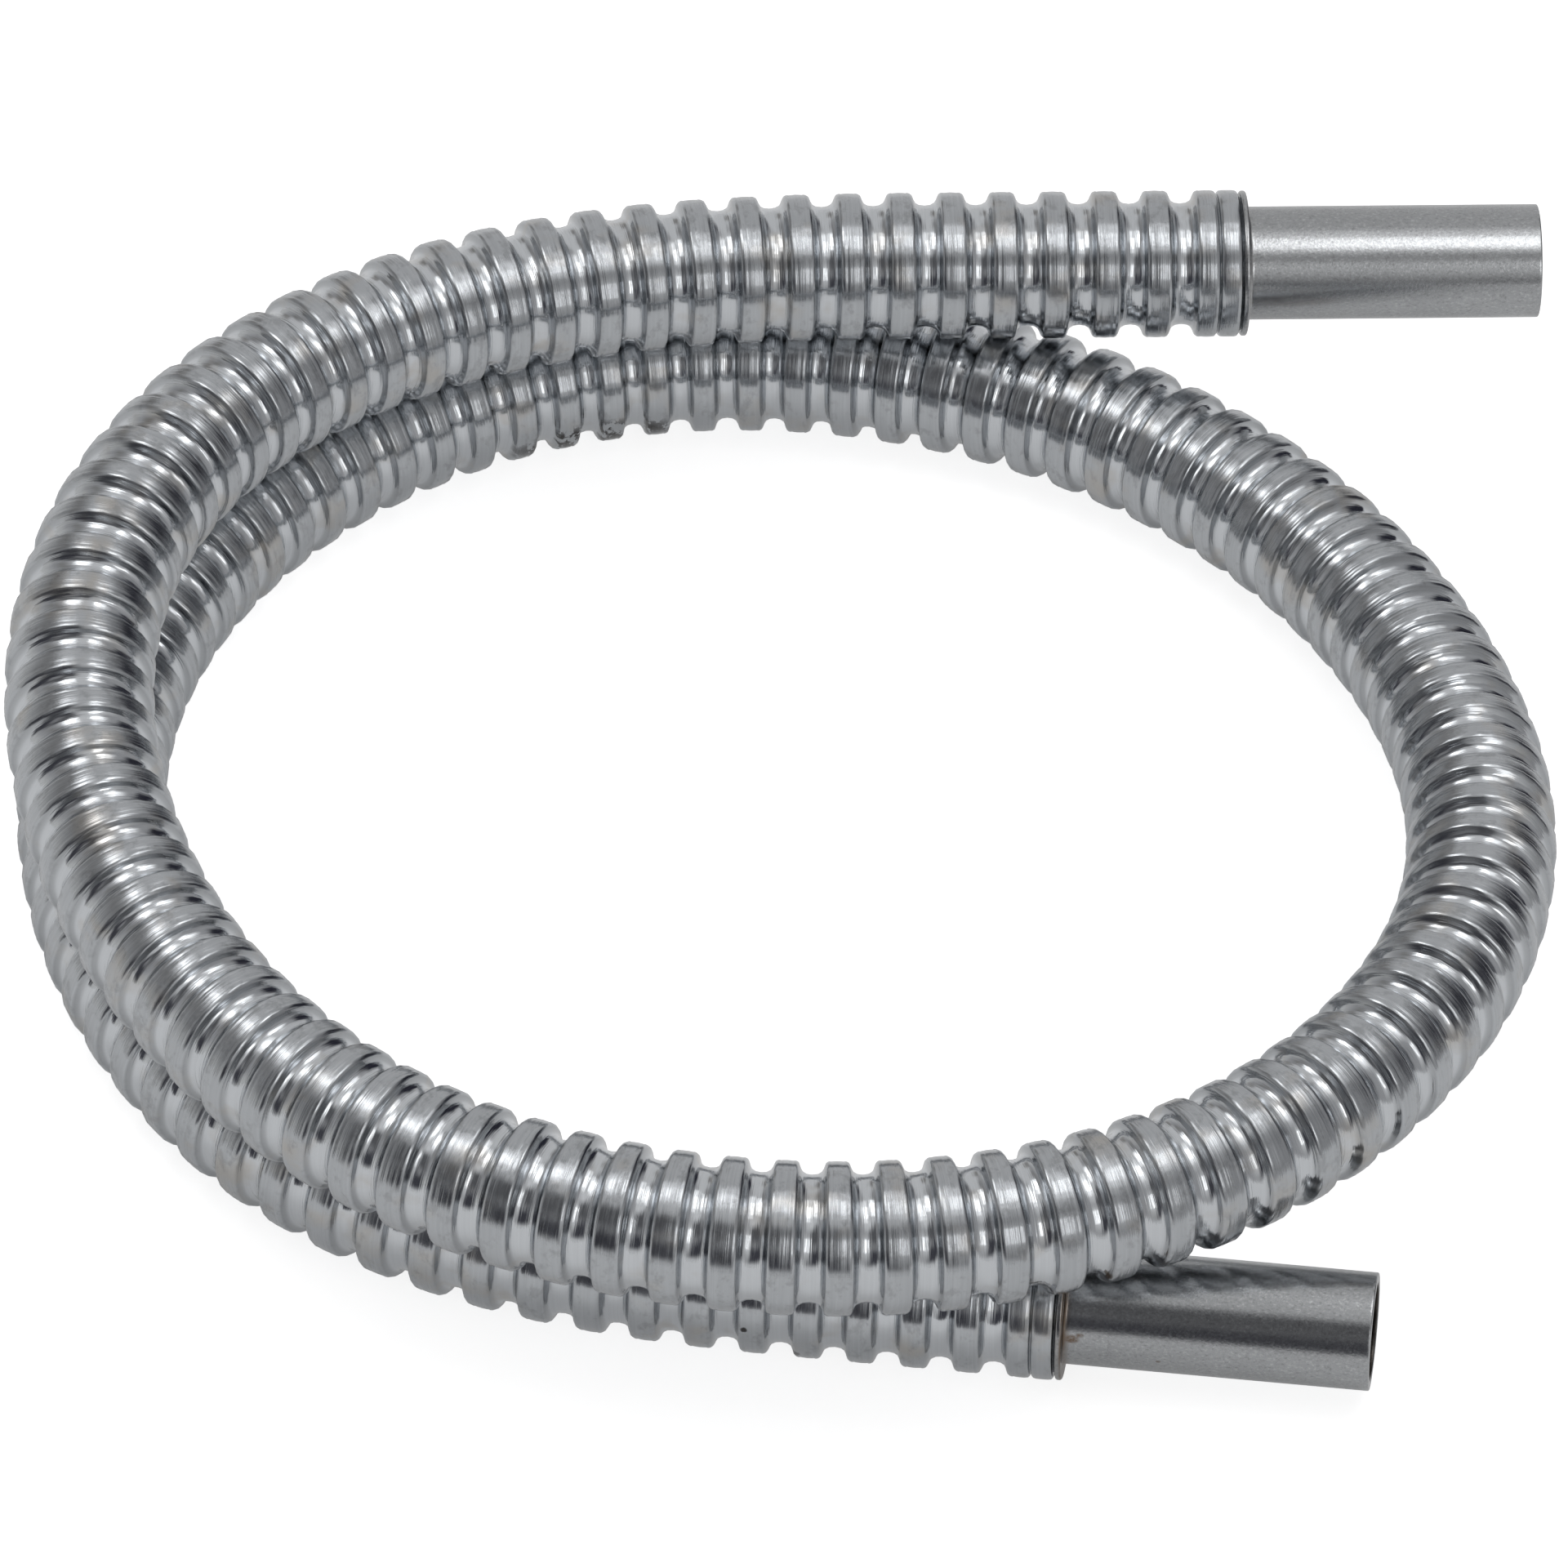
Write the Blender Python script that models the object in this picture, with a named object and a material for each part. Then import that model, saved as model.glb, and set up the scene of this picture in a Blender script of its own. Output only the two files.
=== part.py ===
"""Corrugated gas hose of stainless steel with a plain tube at each end, lying in a loose coil.

The hose is one thin wall folded into ring-shaped crests. It is turned straight, then bent along
its route: a short straight, one and a half turns clockwise seen from above, and a longer straight.
The second half turn lies on the first. Metres, +Z up, the hose rests on z = 0.
"""

import math

import bmesh
import bpy
from mathutils import Matrix, Vector

# Hose wall, crests and valleys
CREST_DIAMETER = 0.01555
VALLEY_DIAMETER = 0.01280
HOSE_WALL = 0.00030
CREST_PITCH = 0.00542
CREST_WIDTH = 0.00230

# Pressed end of the hose: two narrow crests side by side
END_CREST_WIDTH = 0.00205
END_CREST_GAP = 0.00030
END_GROOVE_DEPTH = 0.00060

# Tube ends, each turned with a collar that the hose is welded to
TUBE_DIAMETER = 0.01200
TUBE_WALL = 0.00100
TUBE_LENGTH = 0.03100
COLLAR_STEP = 0.00008
COLLAR_THICKNESS = 0.00065
COLLAR_EDGE = 0.00020
RIM_CHAMFER = 0.00020
WELD_GAP = 0.00030

# Route of the hose, from the lower tube end to the upper one
HOSE_LENGTH = 0.7533
START_STRAIGHT = 0.0212
END_STRAIGHT = 0.0312
START_HEADING = math.radians(173.1)
TOTAL_TURN = math.radians(530.3)
LAYER_GAP = 0.00045
# How tightly the hose bends at even stages of its curved stretch, 1 being its average
BENDS = (1.11, 0.98, 1.04, 1.09, 0.93, 0.85, 0.93, 1.13, 0.93, 0.96, 0.85, 1.18, 0.91)
# How high the hose lies at even stages of its whole length, counted in layers above the lowest
LAYERS = (0.0, 0.02, 0.03, 0.0, 0.05, 0.26, 0.84, 1.02, 1.01, 1.24, 1.10, 0.96)

# Fineness and shading of the faceted solids
HOSE_SIDES = 7
TUBE_SIDES = 32
ROUTE_STEP = 0.0005
SHARP_ANGLE = math.radians(55)

# Steel colours and their roughness
BRIGHT_COLOUR = (0.60, 0.59, 0.57)
BRIGHT_ROUGHNESS = 0.22
SATIN_COLOUR = (0.55, 0.54, 0.52)
SATIN_ROUGHNESS = 0.38

CREST_RADIUS = CREST_DIAMETER / 2
VALLEY_RADIUS = VALLEY_DIAMETER / 2
PAIR_LENGTH = 2 * END_CREST_WIDTH + END_CREST_GAP
FULL_CIRCLE = 2 * math.pi


def clear_scene():
    for thing in list(bpy.data.objects):
        bpy.data.objects.remove(thing, do_unlink=True)


def steel(name, colour, roughness):
    """A stainless steel finish."""
    finish = bpy.data.materials.new(name)
    finish.use_nodes = True
    shader = finish.node_tree.nodes["Principled BSDF"]
    shader.inputs["Base Color"].default_value = (*colour, 1)
    shader.inputs["Metallic"].default_value = 1.0
    shader.inputs["Roughness"].default_value = roughness
    return finish


def smooth_value(values, share):
    """Reads a smooth curve through evenly spaced values, share running from 0 to 1."""
    place = min(max(share, 0.0), 1.0) * (len(values) - 1)
    index = min(int(place), len(values) - 2)
    along = place - index
    padded = [2 * values[0] - values[1], *values, 2 * values[-1] - values[-2]]
    before, left, right, after = padded[index : index + 4]
    slope = right - before
    bulge = 2 * before - 5 * left + 4 * right - after
    twist = 3 * (left - right) + after - before
    return left + 0.5 * along * (slope + along * (bulge + along * twist))


def hose_route():
    """Points and directions of the hose's centreline at even steps of its length."""
    steps = round(HOSE_LENGTH / ROUTE_STEP)
    step = HOSE_LENGTH / steps
    curved = HOSE_LENGTH - START_STRAIGHT - END_STRAIGHT
    stages = (0.0, *BENDS, 0.0)

    turned = [0.0]
    bend_before = 0.0
    for index in range(1, steps + 1):
        share = (index * step - START_STRAIGHT) / curved
        bend = smooth_value(stages, share) if 0 < share < 1 else 0.0
        turned.append(turned[-1] + (bend_before + bend) / 2)
        bend_before = bend

    layer = CREST_DIAMETER + LAYER_GAP
    heights = [CREST_RADIUS + layer * smooth_value(LAYERS, index / steps) for index in range(steps + 1)]

    points = [Vector((0, 0, heights[0]))]
    for index in range(1, steps + 1):
        rise = heights[index] - heights[index - 1]
        run = math.sqrt(step**2 - rise**2)
        middle = (turned[index] + turned[index - 1]) / 2
        heading = START_HEADING - TOTAL_TURN * middle / turned[-1]
        points.append(points[-1] + Vector((run * math.cos(heading), run * math.sin(heading), rise)))

    directions = []
    for index in range(steps + 1):
        ahead = points[min(index + 1, steps)]
        behind = points[max(index - 1, 0)]
        directions.append((ahead - behind).normalized())
    return points, directions


def route_frame(route, distance):
    """The route's place at a distance along the hose: +X along the hose, +Z upward."""
    points, directions = route
    place = min(max(distance / HOSE_LENGTH, 0.0), 1.0) * (len(points) - 1)
    index = min(int(place), len(points) - 2)
    along = place - index
    centre = points[index].lerp(points[index + 1], along)
    forward = directions[index].lerp(directions[index + 1], along).normalized()
    sideways = Vector((0, 0, 1)).cross(forward).normalized()
    upward = forward.cross(sideways)
    turn = Matrix((forward, sideways, upward)).transposed()
    return Matrix.Translation(centre) @ turn.to_4x4()


def crest_centres():
    """Where the full crests stand along the hose, and their pitch once they fill it evenly."""
    valley_width = CREST_PITCH - CREST_WIDTH
    folded_length = HOSE_LENGTH - 2 * PAIR_LENGTH - valley_width
    crests = round(folded_length / CREST_PITCH)
    pitch = folded_length / crests
    first = PAIR_LENGTH + (valley_width + pitch) / 2
    return [first + number * pitch for number in range(crests)], pitch


def folded_skin(end_points, crest_radius, valley_radius, half_width):
    """One skin of the hose's wall as (distance along the hose, radius), from end to end."""
    centres, pitch = crest_centres()
    skin = list(end_points)
    skin.append((centres[0] - pitch / 2, valley_radius))
    for centre in centres:
        skin.append((centre - half_width, crest_radius))
        skin.append((centre + half_width, crest_radius))
        skin.append((centre + pitch / 2, valley_radius))
    skin.extend((HOSE_LENGTH - distance, radius) for distance, radius in reversed(end_points))
    return skin


def wall_section():
    """The closed section of the folded wall: its outer skin, then its inner skin back."""
    groove_radius = CREST_RADIUS - END_GROOVE_DEPTH
    cuff_radius = groove_radius - HOSE_WALL
    pressed_crests = [
        (0.0, CREST_RADIUS),
        (END_CREST_WIDTH, CREST_RADIUS),
        (END_CREST_WIDTH + END_CREST_GAP / 2, groove_radius),
        (END_CREST_WIDTH + END_CREST_GAP, CREST_RADIUS),
        (PAIR_LENGTH, CREST_RADIUS),
    ]
    plain_cuff = [(0.0, cuff_radius), (PAIR_LENGTH - HOSE_WALL, cuff_radius)]
    half_crest = CREST_WIDTH / 2
    outer = folded_skin(pressed_crests, CREST_RADIUS, VALLEY_RADIUS, half_crest)
    inner = folded_skin(
        plain_cuff, CREST_RADIUS - HOSE_WALL, VALLEY_RADIUS - HOSE_WALL, half_crest - HOSE_WALL
    )
    return outer + inner[::-1]


def spun_body(name, outline, sides):
    """Turns a closed outline of (distance, radius) points about the X axis, from its lowest side."""
    shape = bmesh.new()
    verts = [shape.verts.new((distance, 0, -radius)) for distance, radius in outline]
    edges = [shape.edges.new((verts[index - 1], verts[index])) for index in range(len(verts))]
    bmesh.ops.spin(
        shape,
        geom=verts + edges,
        axis=(1, 0, 0),
        cent=(0, 0, 0),
        angle=FULL_CIRCLE,
        steps=sides,
        use_merge=True,
    )
    bmesh.ops.recalc_face_normals(shape, faces=shape.faces)
    mesh = bpy.data.meshes.new(name)
    shape.to_mesh(mesh)
    shape.free()
    return mesh


def add_piece(name, mesh, finish):
    """Puts a mesh in the scene with its finish, shaded smooth up to its edges."""
    mesh.materials.append(finish)
    mesh.shade_smooth()
    mesh.set_sharp_from_angle(angle=SHARP_ANGLE)
    piece = bpy.data.objects.new(name, mesh)
    bpy.context.collection.objects.link(piece)
    return piece


def corrugated_hose(route, finish):
    """The folded hose: turned straight as one thin wall, then bent along its route."""
    mesh = spun_body("corrugated_hose", wall_section(), HOSE_SIDES)
    for vertex in mesh.vertices:
        across = Vector((0, vertex.co.y, vertex.co.z))
        vertex.co = route_frame(route, vertex.co.x) @ across
    return add_piece("corrugated_hose", mesh, finish)


def tube_end(name, frame, finish):
    """A plain tube with a collar, running along +X of its frame from the weld gap outward."""
    tube_radius = TUBE_DIAMETER / 2
    bore_radius = tube_radius - TUBE_WALL
    collar_radius = CREST_RADIUS - COLLAR_STEP
    end = COLLAR_THICKNESS + TUBE_LENGTH
    outline = [
        (0, bore_radius),
        (0, collar_radius - COLLAR_EDGE),
        (COLLAR_EDGE, collar_radius),
        (COLLAR_THICKNESS - COLLAR_EDGE, collar_radius),
        (COLLAR_THICKNESS, collar_radius - COLLAR_EDGE),
        (COLLAR_THICKNESS, tube_radius),
        (end - RIM_CHAMFER, tube_radius),
        (end, tube_radius - RIM_CHAMFER),
        (end, bore_radius),
    ]
    mesh = spun_body(name, outline, TUBE_SIDES)
    piece = add_piece(name, mesh, finish)
    piece.matrix_world = frame @ Matrix.Translation((WELD_GAP, 0, 0))
    return piece


def centre_over_origin(pieces):
    """Moves the pieces so that the middle of their box is over the origin."""
    corners = [piece.matrix_world @ vertex.co for piece in pieces for vertex in piece.data.vertices]
    middle_x = (min(corner.x for corner in corners) + max(corner.x for corner in corners)) / 2
    middle_y = (min(corner.y for corner in corners) + max(corner.y for corner in corners)) / 2
    lowest = min(corner.z for corner in corners)
    for piece in pieces:
        piece.matrix_world = Matrix.Translation((-middle_x, -middle_y, -lowest)) @ piece.matrix_world


def main():
    clear_scene()
    bright_steel = steel("bright_steel", BRIGHT_COLOUR, BRIGHT_ROUGHNESS)
    satin_steel = steel("satin_steel", SATIN_COLOUR, SATIN_ROUGHNESS)

    route = hose_route()
    hose = corrugated_hose(route, bright_steel)
    backward = Matrix.Rotation(math.pi, 4, "Z")
    lower_tube = tube_end("lower_tube_end", route_frame(route, 0.0) @ backward, satin_steel)
    upper_tube = tube_end("upper_tube_end", route_frame(route, HOSE_LENGTH), satin_steel)
    bpy.context.view_layer.update()
    centre_over_origin([hose, lower_tube, upper_tube])


main()
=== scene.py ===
# %% [markdown]
# # A corrugated gas hose of bright stainless steel
#
# The real object is a gas hose: a thin steel tube, folded into ring-shaped crests so that it bends by
# hand, with a short plain tube welded on each end. It lies in a loose coil of one and a half turns.
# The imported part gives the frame: every measure below is in its metres, with +Z up from the ground.

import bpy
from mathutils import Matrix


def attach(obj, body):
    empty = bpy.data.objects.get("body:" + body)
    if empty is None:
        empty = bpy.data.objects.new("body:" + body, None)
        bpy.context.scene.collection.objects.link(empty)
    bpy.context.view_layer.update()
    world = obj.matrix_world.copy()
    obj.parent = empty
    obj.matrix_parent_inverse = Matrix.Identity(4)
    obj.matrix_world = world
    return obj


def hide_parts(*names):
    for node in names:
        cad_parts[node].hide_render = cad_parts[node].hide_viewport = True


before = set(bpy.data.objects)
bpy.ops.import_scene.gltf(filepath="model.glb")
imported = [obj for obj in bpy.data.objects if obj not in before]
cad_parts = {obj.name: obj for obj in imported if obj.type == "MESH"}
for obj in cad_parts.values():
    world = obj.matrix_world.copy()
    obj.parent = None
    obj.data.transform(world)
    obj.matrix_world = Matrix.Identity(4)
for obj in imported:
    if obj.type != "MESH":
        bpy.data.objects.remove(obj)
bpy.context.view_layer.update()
print("nodes of the part:", sorted(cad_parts))

# %% [markdown]
# ## The camera
#
# A product picture of a flat coil is taken from far away with a long lens, so that near and far side
# keep almost the same size. The lens looks down at 44 degrees from the front. It is made first,
# because whatever is judged later is judged through it.

# %% Camera
import math

import bpy
from mathutils import Matrix, Vector

CAMERA_PLACE = Vector((0.0, -1.3485, 1.3183))
CAMERA_TARGET = Vector((0.0, 0.00118, 0.01493))
CAMERA_LENS = 416.9
SENSOR_WIDTH = 36.0

camera_data = bpy.data.cameras.new("camera")
camera_data.lens = CAMERA_LENS
camera_data.sensor_width = SENSOR_WIDTH
camera = bpy.data.objects.new("camera", camera_data)
bpy.context.collection.objects.link(camera)
camera.location = CAMERA_PLACE
camera.rotation_euler = (CAMERA_TARGET - CAMERA_PLACE).to_track_quat("-Z", "Y").to_euler()
bpy.context.scene.camera = camera
bpy.context.scene.view_settings.view_transform = "Standard"
print("camera distance:", round((CAMERA_TARGET - CAMERA_PLACE).length, 3), "m")

# %% [markdown]
# ## The route of the hose
#
# The hose leaves the lower tube end at the front right, runs a short straight, then turns clockwise
# one and a half times, and the second half turn climbs onto the first. A bent hose is easiest to
# describe by how tightly it bends at each stage, because a real hose bends smoothly. Adding up the
# bends gives the heading, and adding up the headings gives the points.

# %% Values of the route, the same as those of the part
HOSE_LENGTH = 0.7533
CREST_DIAMETER = 0.01555
START_STRAIGHT = 0.0212
END_STRAIGHT = 0.0312
START_HEADING = math.radians(173.1)
TOTAL_TURN = math.radians(530.3)
LAYER_GAP = 0.00045
# How tightly the hose bends at even stages of its curved stretch, 1 being its average
BENDS = (1.11, 0.98, 1.04, 1.09, 0.93, 0.85, 0.93, 1.13, 0.93, 0.96, 0.85, 1.18, 0.91)
# How high the hose lies at even stages of its whole length, counted in layers above the lowest
LAYERS = (0.0, 0.02, 0.03, 0.0, 0.05, 0.26, 0.84, 1.02, 1.01, 1.24, 1.10, 0.96)
ROUTE_STEP = 0.0005
# The middle of the hose's first end, by the lower tube
ROUTE_START = Vector((0.0277570, -0.0668792, 0.0077790))
CREST_RADIUS = CREST_DIAMETER / 2
print("stages of the bend:", len(BENDS), "and of the height:", len(LAYERS))


# %% A smooth curve through evenly spaced values
def smooth_value(values, share):
    """Reads a smooth curve through evenly spaced values, share running from 0 to 1."""
    place = min(max(share, 0.0), 1.0) * (len(values) - 1)
    index = min(int(place), len(values) - 2)
    along = place - index
    padded = [2 * values[0] - values[1], *values, 2 * values[-1] - values[-2]]
    before, left, right, after = padded[index : index + 4]
    slope = right - before
    bulge = 2 * before - 5 * left + 4 * right - after
    twist = 3 * (left - right) + after - before
    return left + 0.5 * along * (slope + along * (bulge + along * twist))


# %% Points and directions of the centreline
def hose_route():
    """Points and directions of the hose's centreline at even steps of its length."""
    steps = round(HOSE_LENGTH / ROUTE_STEP)
    step = HOSE_LENGTH / steps
    curved = HOSE_LENGTH - START_STRAIGHT - END_STRAIGHT
    stages = (0.0, *BENDS, 0.0)
    turned = [0.0]
    bend_before = 0.0
    for index in range(1, steps + 1):
        share = (index * step - START_STRAIGHT) / curved
        bend = smooth_value(stages, share) if 0 < share < 1 else 0.0
        turned.append(turned[-1] + (bend_before + bend) / 2)
        bend_before = bend
    layer = CREST_DIAMETER + LAYER_GAP
    heights = [layer * smooth_value(LAYERS, index / steps) for index in range(steps + 1)]
    points = [ROUTE_START.copy()]
    for index in range(1, steps + 1):
        rise = heights[index] - heights[index - 1]
        run = math.sqrt(step**2 - rise**2)
        middle = (turned[index] + turned[index - 1]) / 2
        heading = START_HEADING - TOTAL_TURN * middle / turned[-1]
        points.append(points[-1] + Vector((run * math.cos(heading), run * math.sin(heading), rise)))
    directions = []
    for index in range(steps + 1):
        ahead = points[min(index + 1, steps)]
        behind = points[max(index - 1, 0)]
        directions.append((ahead - behind).normalized())
    return points, directions


def route_frame(route, distance):
    """The route's place at a distance along the hose: +X along the hose, +Z upward."""
    points, directions = route
    place = min(max(distance / HOSE_LENGTH, 0.0), 1.0) * (len(points) - 1)
    index = min(int(place), len(points) - 2)
    along = place - index
    centre = points[index].lerp(points[index + 1], along)
    forward = directions[index].lerp(directions[index + 1], along).normalized()
    sideways = Vector((0, 0, 1)).cross(forward).normalized()
    upward = forward.cross(sideways)
    turn = Matrix((forward, sideways, upward)).transposed()
    return Matrix.Translation(centre) @ turn.to_4x4()


route = hose_route()
print("route points:", len(route[0]), "end:", [round(value, 4) for value in route[0][-1]])

# %% [markdown]
# ## The folded wall
#
# The crests are rings, not a screw thread: a roller presses each ring of the thin tube outward, so
# the crest is nearly flat on top with round shoulders, and the valley is a smooth U. The roller also
# leaves a shallow line near each shoulder, and the low rim outside it catches the light. At each end
# the last two crests are pressed side by side, to give the weld a stiff edge.
#
# A screw or an array modifier could repeat one ring, but then every ring would be alike and bending
# would need a second modifier. Turning one long outline about a straight axis with spin, and then
# bending its points along the route, keeps the wall in one closed mesh. Each point also remembers
# where it was before the bend, so that the finish can follow the hose, and which way the hose runs
# there, so that its reflections can be drawn out along it.

# %% Values of the wall
VALLEY_DIAMETER = 0.01280
CREST_PITCH = 0.00542
CREST_WIDTH = 0.00230
END_CREST_WIDTH = 0.00205
END_CREST_GAP = 0.00030
PAIR_LENGTH = 2 * END_CREST_WIDTH + END_CREST_GAP
VALLEY_RADIUS = VALLEY_DIAMETER / 2
CREST_HEIGHT = CREST_RADIUS - VALLEY_RADIUS

# The bore and its plain ends, seen by nobody from near
BORE_OF_HOSE_RADIUS = 0.00610
CUFF_RADIUS = 0.00660

# The skin past each end of the hose, where the weld fills the gap to the collar
WELD_GAP = 0.00030
WELD_RADIUS = 0.00705
WELD_STEP = 0.2 * WELD_GAP

# A crest's profile beside its edge: distance past the edge toward the valley, where a negative one
# lies on the crest's top, and the share of the crest's height
FLANK = (
    (-0.00062, 0.980),
    (-0.00048, 0.960),
    (-0.00030, 0.990),
    (-0.00008, 0.954),
    (0.00010, 0.868),
    (0.00021, 0.705),
    (0.00034, 0.465),
    (0.00055, 0.222),
    (0.00096, 0.058),
)
# The same toward the narrow groove between two crests that are pressed side by side
GROOVE = ((-0.00045, 0.993), (-0.00012, 0.950), (0.00002, 0.850), (0.00010, 0.680))
GROOVE_FLOOR = 0.560
print("height of a crest:", round(CREST_HEIGHT * 1000, 3), "mm")


# %% The outline of the wall
def crest_edges():
    """Where each crest begins and ends along the hose, the pressed pairs at both ends included."""
    valley_width = CREST_PITCH - CREST_WIDTH
    folded_length = HOSE_LENGTH - 2 * PAIR_LENGTH - valley_width
    crests = round(folded_length / CREST_PITCH)
    pitch = folded_length / crests
    first = PAIR_LENGTH + (valley_width + pitch) / 2
    pair = [(0.0, END_CREST_WIDTH), (END_CREST_WIDTH + END_CREST_GAP, PAIR_LENGTH)]
    middles = [first + number * pitch for number in range(crests)]
    full = [(middle - CREST_WIDTH / 2, middle + CREST_WIDTH / 2) for middle in middles]
    last_pair = [(HOSE_LENGTH - end, HOSE_LENGTH - start) for start, end in reversed(pair)]
    return pair + full + last_pair


def outer_skin(edges):
    """The outer skin as (distance along the hose, radius)."""
    last = len(edges) - 1
    skin = [(-WELD_GAP, WELD_RADIUS), (-WELD_STEP, WELD_RADIUS)]
    for number, (start, end) in enumerate(edges):
        before = GROOVE if number in (0, 1, last) else FLANK
        after = GROOVE if number in (0, last - 1, last) else FLANK
        skin += [(start - far, VALLEY_RADIUS + share * CREST_HEIGHT) for far, share in reversed(before)]
        skin.append(((start + end) / 2, CREST_RADIUS))
        skin += [(end + far, VALLEY_RADIUS + share * CREST_HEIGHT) for far, share in after]
        if number < last:
            raised = GROOVE_FLOOR * CREST_HEIGHT if after is GROOVE else 0
            skin.append(((end + edges[number + 1][0]) / 2, VALLEY_RADIUS + raised))
    skin += [(HOSE_LENGTH + WELD_STEP, WELD_RADIUS), (HOSE_LENGTH + WELD_GAP, WELD_RADIUS)]
    return skin


def inner_skin(edges):
    """The inner skin, a plain bore with one ring for each pitch."""
    middles = [(one[1] + two[0]) / 2 for one, two in zip(edges[1:-2], edges[2:-1])]
    bore = [(middle, BORE_OF_HOSE_RADIUS) for middle in middles]
    return [(-WELD_GAP, CUFF_RADIUS), *bore, (HOSE_LENGTH + WELD_GAP, CUFF_RADIUS)]


edges = crest_edges()
wall = outer_skin(edges) + inner_skin(edges)[::-1]
print("crests:", len(edges), "points in the outline:", len(wall))

# %% Turn an outline about the X axis
import bmesh

FULL_CIRCLE = 2 * math.pi
# The name under which each point keeps its place on the straight shape
STRAIGHT = "straight"


def turned_mesh(name, outline, sides):
    """Spins a closed outline of (distance, radius) points, and keeps the straight shape's points."""
    shape = bmesh.new()
    verts = [shape.verts.new((distance, 0, -radius)) for distance, radius in outline]
    lines = [shape.edges.new((verts[index - 1], verts[index])) for index in range(len(verts))]
    bmesh.ops.spin(
        shape,
        geom=verts + lines,
        axis=(1, 0, 0),
        cent=(0, 0, 0),
        angle=FULL_CIRCLE,
        steps=sides,
        use_merge=True,
    )
    bmesh.ops.recalc_face_normals(shape, faces=shape.faces)
    mesh = bpy.data.meshes.new(name)
    shape.to_mesh(mesh)
    shape.free()
    kept = mesh.attributes.new(STRAIGHT, "FLOAT_VECTOR", "POINT")
    for vertex in mesh.vertices:
        kept.data[vertex.index].vector = vertex.co
    mesh.shade_smooth()
    return mesh


def new_piece(name, mesh):
    """Puts a mesh in the scene as a piece."""
    piece = bpy.data.objects.new(name, mesh)
    bpy.context.collection.objects.link(piece)
    triangles = sum(len(face.vertices) - 2 for face in mesh.polygons)
    print(name, "has", triangles, "triangles")
    return piece


# %% The hose, turned straight and bent along its route
HOSE_SIDES = 32
# The name under which each point keeps the hose's direction
ALONG = "along"

hose_mesh = turned_mesh("hose", wall, HOSE_SIDES)
along = hose_mesh.attributes.new(ALONG, "FLOAT_VECTOR", "POINT")
for vertex in hose_mesh.vertices:
    distance = vertex.co.x
    beyond = min(distance, 0.0) + max(distance - HOSE_LENGTH, 0.0)
    place = route_frame(route, distance)
    vertex.co = place @ Vector((beyond, vertex.co.y, vertex.co.z))
    along.data[vertex.index].vector = place.col[0].to_3d()
hose = new_piece("hose", hose_mesh)

# %% [markdown]
# ## The tube ends
#
# Each end is a plain tube of 12 mm with a thin collar, turned from one piece. The collar is welded
# to the last crest of the hose. Cut edges of a real tube are never razor sharp, so the rim and the
# collar get small rounded edges, which catch the light as thin lines. The same spin makes them, with
# the outline drawn from the collar's face outward.
#
# Smooth shading blends the direction of neighbouring faces. Where a long face meets a small round
# edge, that blend would run along the whole tube and bend its reflections. A holding ring close to
# each round edge keeps the blend short and the tube straight. A bevel modifier with hardened normals
# could do it too, but the outline is already at hand.

# %% Values of the tube ends
TUBE_DIAMETER = 0.01200
TUBE_WALL = 0.00100
TUBE_LENGTH = 0.03100
COLLAR_STEP = 0.00008
COLLAR_THICKNESS = 0.00065
COLLAR_ROUND = 0.00024
ROOT_ROUND = 0.00035
RIM_ROUND = 0.00016
HOLDING_RING = 0.00020
ROUND_STEPS = 4
TUBE_SIDES = 64
TUBE_RADIUS = TUBE_DIAMETER / 2
BORE_RADIUS = TUBE_RADIUS - TUBE_WALL
COLLAR_RADIUS = CREST_RADIUS - COLLAR_STEP
TUBE_END = COLLAR_THICKNESS + TUBE_LENGTH
print("the collar is", round(2 * COLLAR_RADIUS, 5), "m across and the bore", round(2 * BORE_RADIUS, 5))


# %% Tube outline with rounded edges
def rounded(middle_x, middle_r, size, start, end):
    """Points of a small round edge about a middle, between two angles in degrees."""
    turns = [start + (end - start) * step / ROUND_STEPS for step in range(ROUND_STEPS + 1)]
    angles = [math.radians(turn) for turn in turns]
    return [(middle_x + size * math.cos(angle), middle_r + size * math.sin(angle)) for angle in angles]


def tube_outline():
    """The closed outline of a tube end: collar, plain tube, rim and bore."""
    collar_middle = COLLAR_RADIUS - COLLAR_ROUND
    rim_start = TUBE_END - RIM_ROUND
    outline = [(HOLDING_RING, BORE_RADIUS), (0, BORE_RADIUS)]
    outline += rounded(COLLAR_ROUND, collar_middle, COLLAR_ROUND, 180, 90)
    outline += rounded(COLLAR_THICKNESS - COLLAR_ROUND, collar_middle, COLLAR_ROUND, 90, 0)
    outline += rounded(COLLAR_THICKNESS + ROOT_ROUND, TUBE_RADIUS + ROOT_ROUND, ROOT_ROUND, 180, 270)
    outline.append((COLLAR_THICKNESS + ROOT_ROUND + HOLDING_RING, TUBE_RADIUS))
    outline.append((rim_start - HOLDING_RING, TUBE_RADIUS))
    outline += rounded(rim_start, TUBE_RADIUS - RIM_ROUND, RIM_ROUND, 90, 0)
    outline += rounded(rim_start, BORE_RADIUS + RIM_ROUND, RIM_ROUND, 0, -90)
    outline.append((rim_start - HOLDING_RING, BORE_RADIUS))
    return outline


# %% The tube ends in their places
def tube_piece(name, place):
    """A tube end, turned straight and then set at its place."""
    mesh = turned_mesh(name, tube_outline(), TUBE_SIDES)
    mesh.transform(place @ Matrix.Translation((WELD_GAP, 0, 0)))
    return new_piece(name, mesh)


backward = Matrix.Rotation(math.pi, 4, "Z")
lower_tube = tube_piece("lower_tube", route_frame(route, 0.0) @ backward)
upper_tube = tube_piece("upper_tube", route_frame(route, HOSE_LENGTH))

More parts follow.
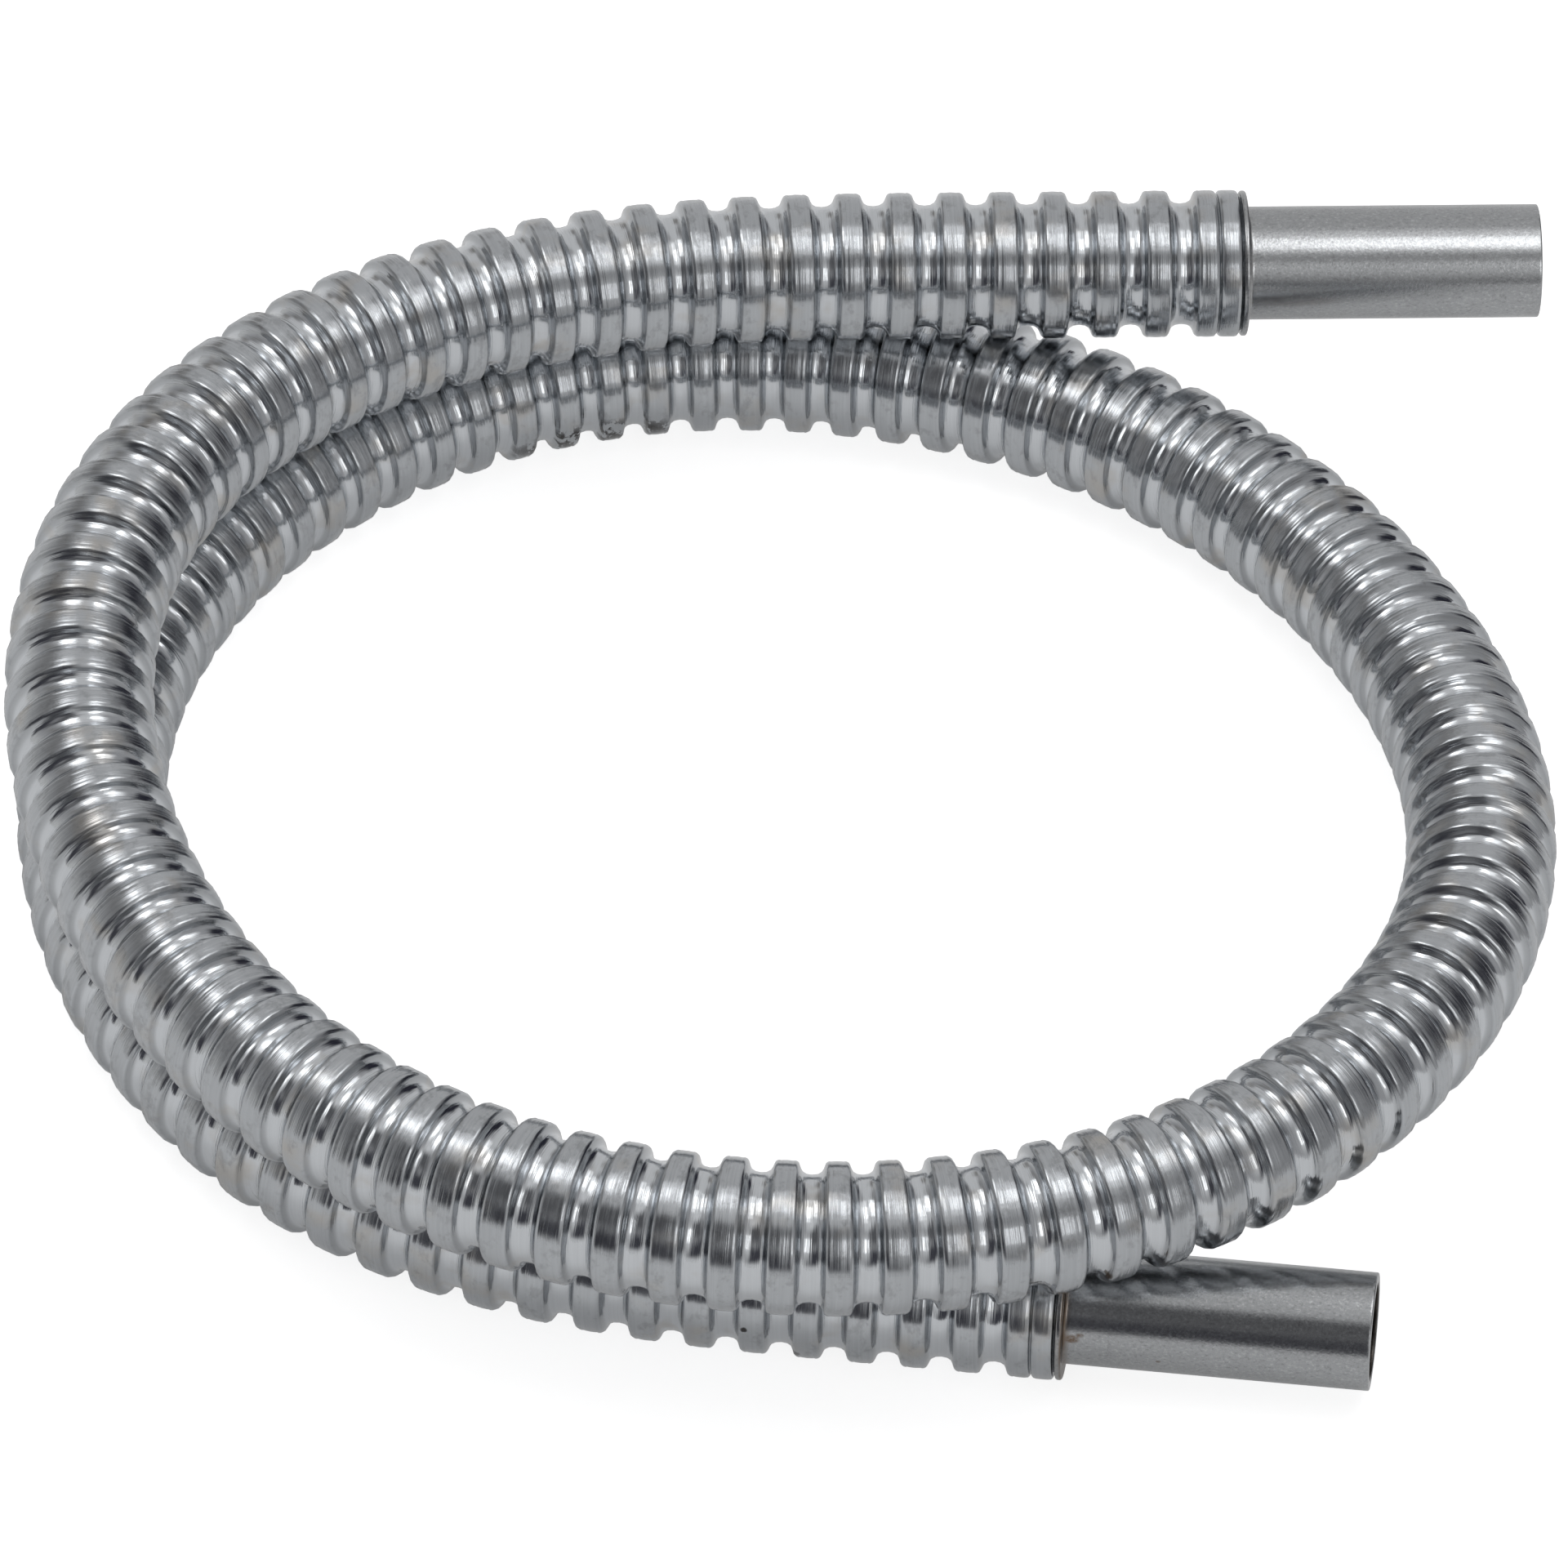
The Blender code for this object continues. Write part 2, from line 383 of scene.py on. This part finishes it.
# %% [markdown]
# ## Helpers for the finishes
#
# Both finishes are steel, and what makes steel look real is not its colour but what breaks up its
# reflections: fine rings left by the rollers, a soft unevenness of the thin wall, rubbed spots.
# The patterns read the stored straight shape, so they run round the hose wherever it bends. Nodes
# could be placed by hand in the editor, but with a few short helpers a finish reads as a list of
# its layers.


# %% Node helpers
def new_finish(name):
    """A new material, its node tree and its shader."""
    finish = bpy.data.materials.new(name)
    finish.use_nodes = True
    tree = finish.node_tree
    return finish, tree, tree.nodes["Principled BSDF"]


def plug(tree, socket, value):
    """Links an output to a socket, or sets the socket's own value."""
    if isinstance(value, bpy.types.NodeSocket):
        tree.links.new(value, socket)
    else:
        socket.default_value = value


def add_node(tree, kind, **settings):
    """Adds a node. A setting that names an input is plugged into it, any other is set on the node."""
    node = tree.nodes.new(kind)
    for key, value in settings.items():
        if key in node.inputs:
            plug(tree, node.inputs[key], value)
        else:
            setattr(node, key, value)
    return node


def remapped(tree, value, low, high, out_low, out_high):
    """Stretches a value's range to another, held at both ends."""
    node = add_node(tree, "ShaderNodeMapRange", Value=value)
    node.inputs["From Min"].default_value = low
    node.inputs["From Max"].default_value = high
    node.inputs["To Min"].default_value = out_low
    node.inputs["To Max"].default_value = out_high
    return node.outputs["Result"]


def maths(tree, operation, first, second):
    """One arithmetic step."""
    node = add_node(tree, "ShaderNodeMath", operation=operation)
    plug(tree, node.inputs[0], first)
    plug(tree, node.inputs[1], second)
    return node.outputs["Value"]


def mixed_colour(tree, factor, first, second):
    """Blends two colours by a factor."""
    node = add_node(tree, "ShaderNodeMix", data_type="RGBA")
    plug(tree, node.inputs["Factor"], factor)
    plug(tree, node.inputs["A"], first)
    plug(tree, node.inputs["B"], second)
    return node.outputs["Result"]


def bump(tree, height, strength, depth):
    """A bump from a height pattern."""
    return add_node(tree, "ShaderNodeBump", Height=height, Strength=strength, Distance=depth)


# %% Patterns that follow the straight shape
# How far out from its middle a spot is full, as a share of its size
SPOT_CORE = 0.6


def straight_place(tree):
    """Where a point was before its piece was bent or moved."""
    return add_node(tree, "ShaderNodeAttribute", attribute_name=STRAIGHT).outputs["Vector"]


def straight_pattern(tree, scale, detail, roughness):
    """Noise that follows the straight shape, with its own scale along and across the piece."""
    stretch = add_node(tree, "ShaderNodeMapping", Vector=straight_place(tree), Scale=scale)
    noise = add_node(tree, "ShaderNodeTexNoise", Scale=1.0, Detail=detail, Roughness=roughness)
    plug(tree, noise.inputs["Vector"], stretch.outputs["Vector"])
    return noise.outputs["Fac"]


def vector_maths(tree, operation, first, second=None):
    """One arithmetic step on vectors."""
    node = add_node(tree, "ShaderNodeVectorMath", operation=operation)
    plug(tree, node.inputs[0], first)
    if second is not None:
        plug(tree, node.inputs[1], second)
    return node


def from_axis(tree):
    """The distance from the axis of the straight shape."""
    apart = add_node(tree, "ShaderNodeSeparateXYZ", Vector=straight_place(tree))
    across = add_node(tree, "ShaderNodeCombineXYZ", Y=apart.outputs["Y"], Z=apart.outputs["Z"])
    return vector_maths(tree, "LENGTH", across.outputs["Vector"]).outputs["Value"]


def spot(tree, place, size):
    """A soft-edged spot about a place of the straight shape."""
    offset = vector_maths(tree, "SUBTRACT", straight_place(tree), place).outputs["Vector"]
    scaled = vector_maths(tree, "DIVIDE", offset, size).outputs["Vector"]
    reach = vector_maths(tree, "LENGTH", scaled).outputs["Value"]
    return remapped(tree, reach, SPOT_CORE, 1.0, 1.0, 0.0)


# %% [markdown]
# ## Bright steel of the hose
#
# The hose is bright annealed. The valleys are almost a mirror, and the tops of the crests, which the
# rollers rub, are greyer and duller. The flanks between them carry painted shade: a dark grey in their
# colour stands in for the shade where they face each other and mirror little but steel. Fine rings and
# a slight waviness lie over all of it, and some patches carry a faint warm tint or a smoky smudge.
# There is a little soot on the inner side at the back, and there are a few dark specks near the lower
# tube.
#
# One plain metal of low roughness would look like chrome. Here the distance from the axis of the
# straight shape tells crest, flank and valley apart, so that no face has to be picked by hand. The
# shine of the crests is drawn out along the hose, across the fine rings, by an anisotropic finish
# that takes the stored direction as its tangent.

# %% Bright steel: zones of the wall
# Distances from the axis between which each zone fades in
CREST_TOP = (0.0070, 0.0077)
FLANK_FOOT = (0.0067, 0.0070)
FLANK_HEAD = (0.0076, 0.0074)
DIRT_FOOT = (0.0067, 0.0072)
# The largest share of painted shade on a flank, standing in for the shade where flanks face each other
FLANK_SHADE = 0.35

bright, tree, shader = new_finish("bright_steel")
radius = from_axis(tree)
on_crest = remapped(tree, radius, *CREST_TOP, 0.0, 1.0)
above_foot = remapped(tree, radius, *FLANK_FOOT, 0.0, 1.0)
below_head = remapped(tree, radius, *FLANK_HEAD, 0.0, FLANK_SHADE)
# Painted shade: the flanks are darkened where neighbouring crests face each other
on_flank = maths(tree, "MULTIPLY", above_foot, below_head)
print("zones of the bright steel:", len(tree.nodes), "nodes")

# %% Bright steel: patterns
# Scale along, sideways and upward, then detail and roughness of each noise
RINGS = ((3800.0, 60.0, 60.0), 3.0, 0.65)
WAVES = ((420.0, 300.0, 300.0), 2.0, 0.5)
PATCHES = ((150.0, 190.0, 190.0), 3.0, 0.55)
SMUDGES = ((700.0, 500.0, 500.0), 4.0, 0.7)

rings = straight_pattern(tree, *RINGS)
waves = straight_pattern(tree, *WAVES)
patches = straight_pattern(tree, *PATCHES)
smudges = straight_pattern(tree, *SMUDGES)
print("with its patterns:", len(tree.nodes), "nodes")

# %% Bright steel: colour
CREST_GREYS = ((0.400, 0.415, 0.433, 1), (0.560, 0.580, 0.603, 1))
VALLEY_GREYS = ((0.575, 0.594, 0.618, 1), (0.690, 0.714, 0.740, 1))
# A dark grey painted on the flanks as painted shade
FLANK_GREY = (0.22, 0.227, 0.236, 1)
WARM_GREY = (0.49, 0.46, 0.42, 1)
SMOKE_GREY = (0.24, 0.245, 0.25, 1)
# Levels of a pattern between which its tint fades in, and the tint's share
WARM_LEVELS = (0.56, 0.72)
WARM_SHARE = 0.6
SMOKE_LEVELS = (0.52, 0.64)
SMOKE_SHARE = 0.35

valley_colour = mixed_colour(tree, rings, *VALLEY_GREYS)
crest_colour = mixed_colour(tree, rings, *CREST_GREYS)
steel_colour = mixed_colour(tree, on_crest, valley_colour, crest_colour)
# Painted shade darkens the flanks
steel_colour = mixed_colour(tree, on_flank, steel_colour, FLANK_GREY)
warm = remapped(tree, patches, *WARM_LEVELS, 0.0, WARM_SHARE)
steel_colour = mixed_colour(tree, warm, steel_colour, WARM_GREY)
smoky = maths(tree, "MULTIPLY", remapped(tree, smudges, *SMOKE_LEVELS, 0.0, SMOKE_SHARE), on_crest)
steel_colour = mixed_colour(tree, smoky, steel_colour, SMOKE_GREY)
print("with its colour:", len(tree.nodes), "nodes")

# %% Bright steel: soot and specks
# Place and size on the straight shape, and the level of the smudges where each one begins
DIRT = (
    ((0.2280, -0.0070, -0.0032), (0.0120, 0.0034, 0.0030), 0.45),
    ((0.0265, 0.0068, -0.0038), (0.0011, 0.0012, 0.0010), 0.36),
    ((0.0310, 0.0077, 0.0), (0.0004, 0.0005, 0.0004), 0.05),
)
DIRT_FADE = 0.06
SOOT_COLOUR = (0.035, 0.032, 0.030, 1)
SOOT_METAL = 0.2

sooty = 0.0
for place, size, start in DIRT:
    broken = remapped(tree, smudges, start, start + DIRT_FADE, 0.0, 1.0)
    dirty = maths(tree, "MULTIPLY", spot(tree, place, size), broken)
    sooty = maths(tree, "MAXIMUM", dirty, sooty)
sooty = maths(tree, "MULTIPLY", sooty, remapped(tree, radius, *DIRT_FOOT, 0.0, 1.0))
plug(tree, shader.inputs["Base Color"], mixed_colour(tree, sooty, steel_colour, SOOT_COLOUR))
plug(tree, shader.inputs["Metallic"], remapped(tree, sooty, 0.0, 1.0, 1.0, SOOT_METAL))
print("spots of dirt:", len(DIRT))

# %% Bright steel: shine
# Levels of the rings and the patches, and the roughness that each adds between them
RING_LEVELS = (0.3, 0.7)
RING_ROUGHNESS = (0.09, 0.13)
PATCH_LEVELS = (0.35, 0.65)
CREST_DULLNESS = (0.06, 0.14)
# How far reflections are drawn out, in the valleys and on the crests
DRAWN_OUT = (0.3, 0.85)
WAVE_STRENGTH = 0.22
RING_STRENGTH = 0.85
BUMP_DEPTH = 0.00006

rubbed = remapped(tree, rings, *RING_LEVELS, *RING_ROUGHNESS)
dulled = maths(tree, "MULTIPLY", on_crest, remapped(tree, patches, *PATCH_LEVELS, *CREST_DULLNESS))
plug(tree, shader.inputs["Roughness"], maths(tree, "ADD", rubbed, dulled))
plug(tree, shader.inputs["Anisotropic"], remapped(tree, on_crest, 0.0, 1.0, *DRAWN_OUT))
lengthwise = add_node(tree, "ShaderNodeAttribute", attribute_name=ALONG)
plug(tree, shader.inputs["Tangent"], lengthwise.outputs["Vector"])
wavy = bump(tree, waves, WAVE_STRENGTH, BUMP_DEPTH)
ringed = bump(tree, rings, RING_STRENGTH, BUMP_DEPTH)
plug(tree, ringed.inputs["Normal"], wavy.outputs["Normal"])
plug(tree, shader.inputs["Normal"], ringed.outputs["Normal"])
print("bright steel:", len(tree.nodes), "nodes")

# %% [markdown]
# ## Satin steel of the tube ends
#
# The tubes are drawn and pickled, which leaves a fine grain with light and dark flecks, so their
# reflections are soft. Welding heat left a brown line where the lower tube meets its collar, with a
# few small burnt marks beside it, and a faint streak on the upper tube. The bore is painted nearly
# black inside, as painted shade.
#
# One material on both tubes would put the same burnt marks on both, so a function makes the finish
# twice, each time with its own heat and marks. The brown line reads how far a point lies from the
# collar on the straight shape, so it stays sharp however long the faces of the tube are.

# %% Values of the satin steel
# Noises as above
GRAIN = ((4000.0, 4200.0, 4200.0), 2.0, 0.6)
CLOUDS = ((160.0, 260.0, 260.0), 3.0, 0.5)
FLECKS = ((2600.0, 3600.0, 3600.0), 3.0, 0.7)

SATIN_GREYS = ((0.365, 0.374, 0.383, 1), (0.44, 0.45, 0.46, 1))
LIGHT_FLECK = (0.62, 0.63, 0.64, 1)
LIGHT_LEVELS = (0.55, 0.69)
DARK_FLECK = (0.22, 0.22, 0.225, 1)
DARK_LEVELS = (0.45, 0.31)
FLECK_SHARE = 0.55
HEAT_COLOUR = (0.15, 0.11, 0.08, 1)
BURN_COLOUR = (0.15, 0.095, 0.06, 1)
# Painted shade: a near-black colour inside the bore, where little light reaches
BORE_COLOUR = (0.06, 0.055, 0.05, 1)

# Distances from the weld between which the brown line fades out on the tube and in on the collar
HEAT_END = (COLLAR_THICKNESS + 0.0001, COLLAR_THICKNESS + 0.0008)
HEAT_START = (0.00035, 0.0006)
COLLAR_HEAT = 0.25
# Levels of the clouds and the flecks that break up the brown line and the marks
HEAT_LEVELS = (0.3, 0.55)
HEAT_BREAKS = (0.5, 1.0)
MARK_LEVELS = (0.35, 0.6)
MARK_BREAKS = (0.3, 1.0)

GRAIN_LEVELS = (0.3, 0.7)
GRAIN_ROUGHNESS = (0.18, 0.26)
GRAIN_STRENGTH = 0.30
GRAIN_DEPTH = 0.00003
print("brown line:", round((HEAT_END[1] - HEAT_START[0]) * 1000, 2), "mm wide with its soft edges")


# %% Satin steel
def weld_heat(tree, clouds, heat):
    """The brown line between the tube and its collar, broken up a little."""
    apart = add_node(tree, "ShaderNodeSeparateXYZ", Vector=straight_place(tree))
    on_tube = remapped(tree, apart.outputs["X"], *HEAT_END, heat, 0.0)
    on_collar = remapped(tree, apart.outputs["X"], *HEAT_START, COLLAR_HEAT, 1.0)
    broken = remapped(tree, clouds, *HEAT_LEVELS, *HEAT_BREAKS)
    return maths(tree, "MULTIPLY", maths(tree, "MULTIPLY", on_tube, on_collar), broken)


def satin_finish(name, heat, marks):
    """The satin steel of a tube, with its own brown or dark marks as (place, size, strength)."""
    satin, tree, shader = new_finish(name)
    grain = straight_pattern(tree, *GRAIN)
    clouds = straight_pattern(tree, *CLOUDS)
    flecks = straight_pattern(tree, *FLECKS)
    colour = mixed_colour(tree, clouds, *SATIN_GREYS)
    light = remapped(tree, flecks, *LIGHT_LEVELS, 0.0, FLECK_SHARE)
    dark = remapped(tree, flecks, *DARK_LEVELS, 0.0, FLECK_SHARE)
    colour = mixed_colour(tree, light, colour, LIGHT_FLECK)
    colour = mixed_colour(tree, dark, colour, DARK_FLECK)
    colour = mixed_colour(tree, weld_heat(tree, clouds, heat), colour, HEAT_COLOUR)
    for place, size, strength in marks:
        broken = remapped(tree, flecks, *MARK_LEVELS, *MARK_BREAKS)
        burnt = maths(tree, "MULTIPLY", spot(tree, place, size), broken)
        colour = mixed_colour(tree, maths(tree, "MULTIPLY", burnt, strength), colour, BURN_COLOUR)
    # Painted shade inside the bore, fading in past the rim's round edge
    in_bore = remapped(tree, from_axis(tree), BORE_RADIUS + RIM_ROUND, BORE_RADIUS, 0.0, 1.0)
    plug(tree, shader.inputs["Base Color"], mixed_colour(tree, in_bore, colour, BORE_COLOUR))
    shader.inputs["Metallic"].default_value = 1.0
    plug(tree, shader.inputs["Roughness"], remapped(tree, grain, *GRAIN_LEVELS, *GRAIN_ROUGHNESS))
    grainy = bump(tree, grain, GRAIN_STRENGTH, GRAIN_DEPTH)
    plug(tree, shader.inputs["Normal"], grainy.outputs["Normal"])
    print(name, "has", len(tree.nodes), "nodes")
    return satin


# %% The two tubes' own heat and marks
LOWER_HEAT = 1.0
UPPER_HEAT = 0.15
# Place and size of each mark on the straight tube, and its strength
LOWER_MARKS = (
    ((0.0016, -0.0059, 0.0011), (0.0009, 0.0012, 0.0006), 0.9),
    ((0.0024, -0.0058, 0.0016), (0.0005, 0.0012, 0.0003), 0.8),
    ((0.0104, -0.0059, -0.0010), (0.0003, 0.0010, 0.0002), 0.9),
)
UPPER_MARKS = (((0.0050, -0.0060, 0.0), (0.0060, 0.0020, 0.0009), 0.25),)

lower_satin = satin_finish("lower_satin_steel", LOWER_HEAT, LOWER_MARKS)
upper_satin = satin_finish("upper_satin_steel", UPPER_HEAT, UPPER_MARKS)

# %% Finishes on their pieces
for piece, finish in ((hose, bright), (lower_tube, lower_satin), (upper_tube, upper_satin)):
    piece.data.materials.append(finish)
    print(piece.name, "is", finish.name)

# %% [markdown]
# ## The floor
#
# The real hose lies on white paper, which ends a little to the right of it and in front of it. A
# single grid, scaled and moved to its place, is enough for a flat sheet. The camera and anything
# clear see it glow, so that it comes out white and still keeps the hose's shadow. Mirrored in the
# steel it glows less, because polished steel shows such paper as a pale grey.

# %% Floor
FLOOR_LOW = (-0.9, -0.17)
FLOOR_HIGH = (0.215, 0.9)
PAPER_COLOUR = (0.66, 0.66, 0.66, 1)
WHITE = (1, 1, 1, 1)
SEEN_GLOW = 0.80
MIRRORED_GLOW = 0.25


def seen_directly(tree, rays):
    """Whether a ray comes from the camera, straight or through something clear."""
    return maths(tree, "MAXIMUM", rays.outputs["Is Camera Ray"], rays.outputs["Is Transmission Ray"])


floor_shape = bmesh.new()
bmesh.ops.create_grid(floor_shape, x_segments=1, y_segments=1, size=0.5)
floor_size = Vector((FLOOR_HIGH[0] - FLOOR_LOW[0], FLOOR_HIGH[1] - FLOOR_LOW[1], 1))
floor_middle = Vector(((FLOOR_HIGH[0] + FLOOR_LOW[0]) / 2, (FLOOR_HIGH[1] + FLOOR_LOW[1]) / 2, 0))
bmesh.ops.scale(floor_shape, vec=floor_size, verts=floor_shape.verts)
bmesh.ops.translate(floor_shape, vec=floor_middle, verts=floor_shape.verts)
floor_mesh = bpy.data.meshes.new("floor")
floor_shape.to_mesh(floor_mesh)
floor_shape.free()
floor = bpy.data.objects.new("floor", floor_mesh)
bpy.context.collection.objects.link(floor)
print("floor:", [round(value, 2) for value in floor_size[:2]], "m")

# %% Paper
paper, tree, shader = new_finish("paper")
tree.nodes.remove(shader)
matt = add_node(tree, "ShaderNodeBsdfDiffuse", Color=PAPER_COLOUR)
rays = add_node(tree, "ShaderNodeLightPath")
seen_glow = maths(tree, "MULTIPLY", seen_directly(tree, rays), SEEN_GLOW)
mirrored_glow = maths(tree, "MULTIPLY", rays.outputs["Is Glossy Ray"], MIRRORED_GLOW)
glow = add_node(tree, "ShaderNodeEmission", Color=WHITE)
plug(tree, glow.inputs["Strength"], maths(tree, "ADD", seen_glow, mirrored_glow))
both = tree.nodes.new("ShaderNodeAddShader")
tree.links.new(matt.outputs["BSDF"], both.inputs[0])
tree.links.new(glow.outputs["Emission"], both.inputs[1])
tree.links.new(both.outputs["Shader"], tree.nodes["Material Output"].inputs["Surface"])
floor_mesh.materials.append(paper)
print("paper glows", SEEN_GLOW, "seen directly and", MIRRORED_GLOW, "mirrored")

# %% [markdown]
# ## The lamps
#
# Bright steel shows the room around it more than itself, so lamps are shapes in its reflections
# first, and light second. Two large soft lamps hang over the left and the right side of the hose,
# and each has a brighter core. A third stands at the front right. Area lamps are right for this,
# because their size and outline show in the crests as they would on the real hose.

# %% Lamps
# Name, place, width, length and power of the lamps that hang over the hose and shine straight down
HANGING_LAMPS = (
    ("overhead_left_lamp", (-0.325, 0.11, 0.75), 0.37, 0.46, 0.54),
    ("left_lamp_core", (-0.33, 0.11, 0.74), 0.15, 0.22, 0.26),
    ("overhead_right_lamp", (0.275, 0.03, 0.75), 0.29, 0.62, 0.36),
    ("right_lamp_core", (0.20, -0.03, 0.74), 0.12, 0.28, 0.25),
)
FRONT_LAMP_AZIMUTH = math.radians(25)
FRONT_LAMP_ELEVATION = math.radians(28)
FRONT_LAMP_DISTANCE = 2.5
FRONT_LAMP_SIZE = (0.46, 1.05)
FRONT_LAMP_POWER = 2.6


def soft_light(name, place, target, width, length, power):
    """A large soft lamp that faces a target."""
    lamp_data = bpy.data.lights.new(name, "AREA")
    lamp_data.shape = "RECTANGLE"
    lamp_data.size = width
    lamp_data.size_y = length
    lamp_data.energy = power
    lamp = bpy.data.objects.new(name, lamp_data)
    bpy.context.collection.objects.link(lamp)
    lamp.location = place
    aim = Vector(target) - Vector(place)
    lamp.rotation_euler = aim.to_track_quat("-Z", "Y").to_euler()
    lamp.visible_camera = False
    print(name, "at", [round(value, 2) for value in place])


for name, place, width, length, power in HANGING_LAMPS:
    soft_light(name, place, (place[0], place[1], 0), width, length, power)

# Azimuth is counted from the front to the right
lamp_reach = FRONT_LAMP_DISTANCE * math.cos(FRONT_LAMP_ELEVATION)
front_lamp_place = (
    lamp_reach * math.sin(FRONT_LAMP_AZIMUTH),
    -lamp_reach * math.cos(FRONT_LAMP_AZIMUTH),
    FRONT_LAMP_DISTANCE * math.sin(FRONT_LAMP_ELEVATION),
)
coil_middle = (0, 0, 0)
soft_light("front_lamp", front_lamp_place, coil_middle, *FRONT_LAMP_SIZE, FRONT_LAMP_POWER)

# %% [markdown]
# ## The room
#
# Past the lamps and the paper, the steel mirrors a studio: a pale ceiling and walls, a dark space at
# the front where the camera stands, a soft box beside it, a window high at the right and a dark
# doorway below it. A picture of a real room could be wrapped round the scene instead, but curved
# steel bends and blurs it so much that a short list of light and dark places does as well, and each
# place can be moved by its angles. The world lays the places over each other in turn, with soft
# edges. What the camera sees past the paper is white.

# %% Places of the room
# Name, azimuth from the front to the right, half width, lowest and highest elevation, softness and
# colour, with all angles in degrees
ROOM_BASE = (0.35, 0.35, 0.355, 1)
ALL_ROUND = 180
ROOM_PLACES = (
    ("front_paper", 0, 110, -80, -6, 4, (0.60, 0.60, 0.60, 1)),
    ("ceiling", 0, ALL_ROUND, 55, 90, 9, (0.70, 0.70, 0.70, 1)),
    ("left_low_wall", -105, 62, -20, 12, 8, (0.56, 0.56, 0.55, 1)),
    ("left_shelf", -118, 28, 28, 43, 6, (0.24, 0.235, 0.23, 1)),
    ("front_low", -20, 38, -5, 28, 5, (0.055, 0.055, 0.065, 1)),
    ("front_high", -30, 36, 24, 60, 6, (0.11, 0.11, 0.115, 1)),
    ("front_window", -26, 9, 19, 34, 5, (0.28, 0.28, 0.285, 1)),
    ("front_right_wall", 28, 22, -5, 50, 8, (0.45, 0.45, 0.45, 1)),
    ("front_softbox", 24, 19, 10, 44, 7, (0.68, 0.68, 0.68, 1)),
    ("right_window", 114, 20, 48, 68, 5, (0.95, 0.95, 0.95, 1)),
    ("back_wall", 178, 29, -20, 74, 5, (0.62, 0.62, 0.62, 1)),
    ("back_left_stand", -158, 8, 5, 24, 4, (0.24, 0.23, 0.22, 1)),
    ("right_doorway", 122, 25, -14, 27, 6, (0.025, 0.025, 0.035, 1)),
    ("lamp_gap", 0, ALL_ROUND, 75, 90, 4, (0.64, 0.64, 0.64, 1)),
)


def within_width(tree, level, azimuth, half_width, soft):
    """How far a level direction lies within a half width of an azimuth."""
    turn = math.radians(azimuth)
    part_x = maths(tree, "MULTIPLY", level.outputs["X"], math.sin(turn))
    part_y = maths(tree, "MULTIPLY", level.outputs["Y"], math.cos(turn))
    toward = maths(tree, "SUBTRACT", part_x, part_y)
    outer = math.cos(math.radians(min(half_width + soft, ALL_ROUND)))
    inner = math.cos(math.radians(max(half_width - soft, 0)))
    return remapped(tree, toward, outer, inner, 0, 1)


def past_elevation(tree, rise, start, end):
    """Fades in from one elevation to another."""
    start_rise, end_rise = (math.sin(math.radians(angle)) for angle in (start, end))
    return remapped(tree, rise, start_rise, end_rise, 0, 1)


# %% The room as the world
world = bpy.data.worlds.new("room")
bpy.context.scene.world = world
world.use_nodes = True
tree = world.node_tree
direction = add_node(tree, "ShaderNodeTexCoord").outputs["Generated"]
apart = add_node(tree, "ShaderNodeSeparateXYZ", Vector=direction)
flat = add_node(tree, "ShaderNodeCombineXYZ", X=apart.outputs["X"], Y=apart.outputs["Y"])
flat = vector_maths(tree, "NORMALIZE", flat.outputs["Vector"])
level = add_node(tree, "ShaderNodeSeparateXYZ", Vector=flat.outputs["Vector"])
room_colour = ROOM_BASE
for name, azimuth, half_width, low, high, soft, colour in ROOM_PLACES:
    inside = past_elevation(tree, apart.outputs["Z"], low - soft, low + soft)
    if half_width < ALL_ROUND:
        below_high = past_elevation(tree, apart.outputs["Z"], high + soft, high - soft)
        inside = maths(tree, "MULTIPLY", inside, below_high)
        wide = within_width(tree, level, azimuth, half_width, soft)
        inside = maths(tree, "MULTIPLY", inside, wide)
    room_colour = mixed_colour(tree, inside, room_colour, colour)
rays = add_node(tree, "ShaderNodeLightPath")
seen = mixed_colour(tree, seen_directly(tree, rays), room_colour, WHITE)
plug(tree, tree.nodes["Background"].inputs["Color"], seen)
print("places of the room:", [place[0] for place in ROOM_PLACES])

# %% [markdown]
# ## What each piece stands for
#
# The pieces ride on the only body and replace the plain solids of the part, which are hidden.

# %% Pieces on the body, in place of the part's solids
for piece, node, slot in (
    (hose, "corrugated_hose", "bright_steel"),
    (lower_tube, "lower_tube_end", "satin_steel"),
    (upper_tube, "upper_tube_end", "satin_steel"),
):
    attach(piece, "root")
    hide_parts(node)
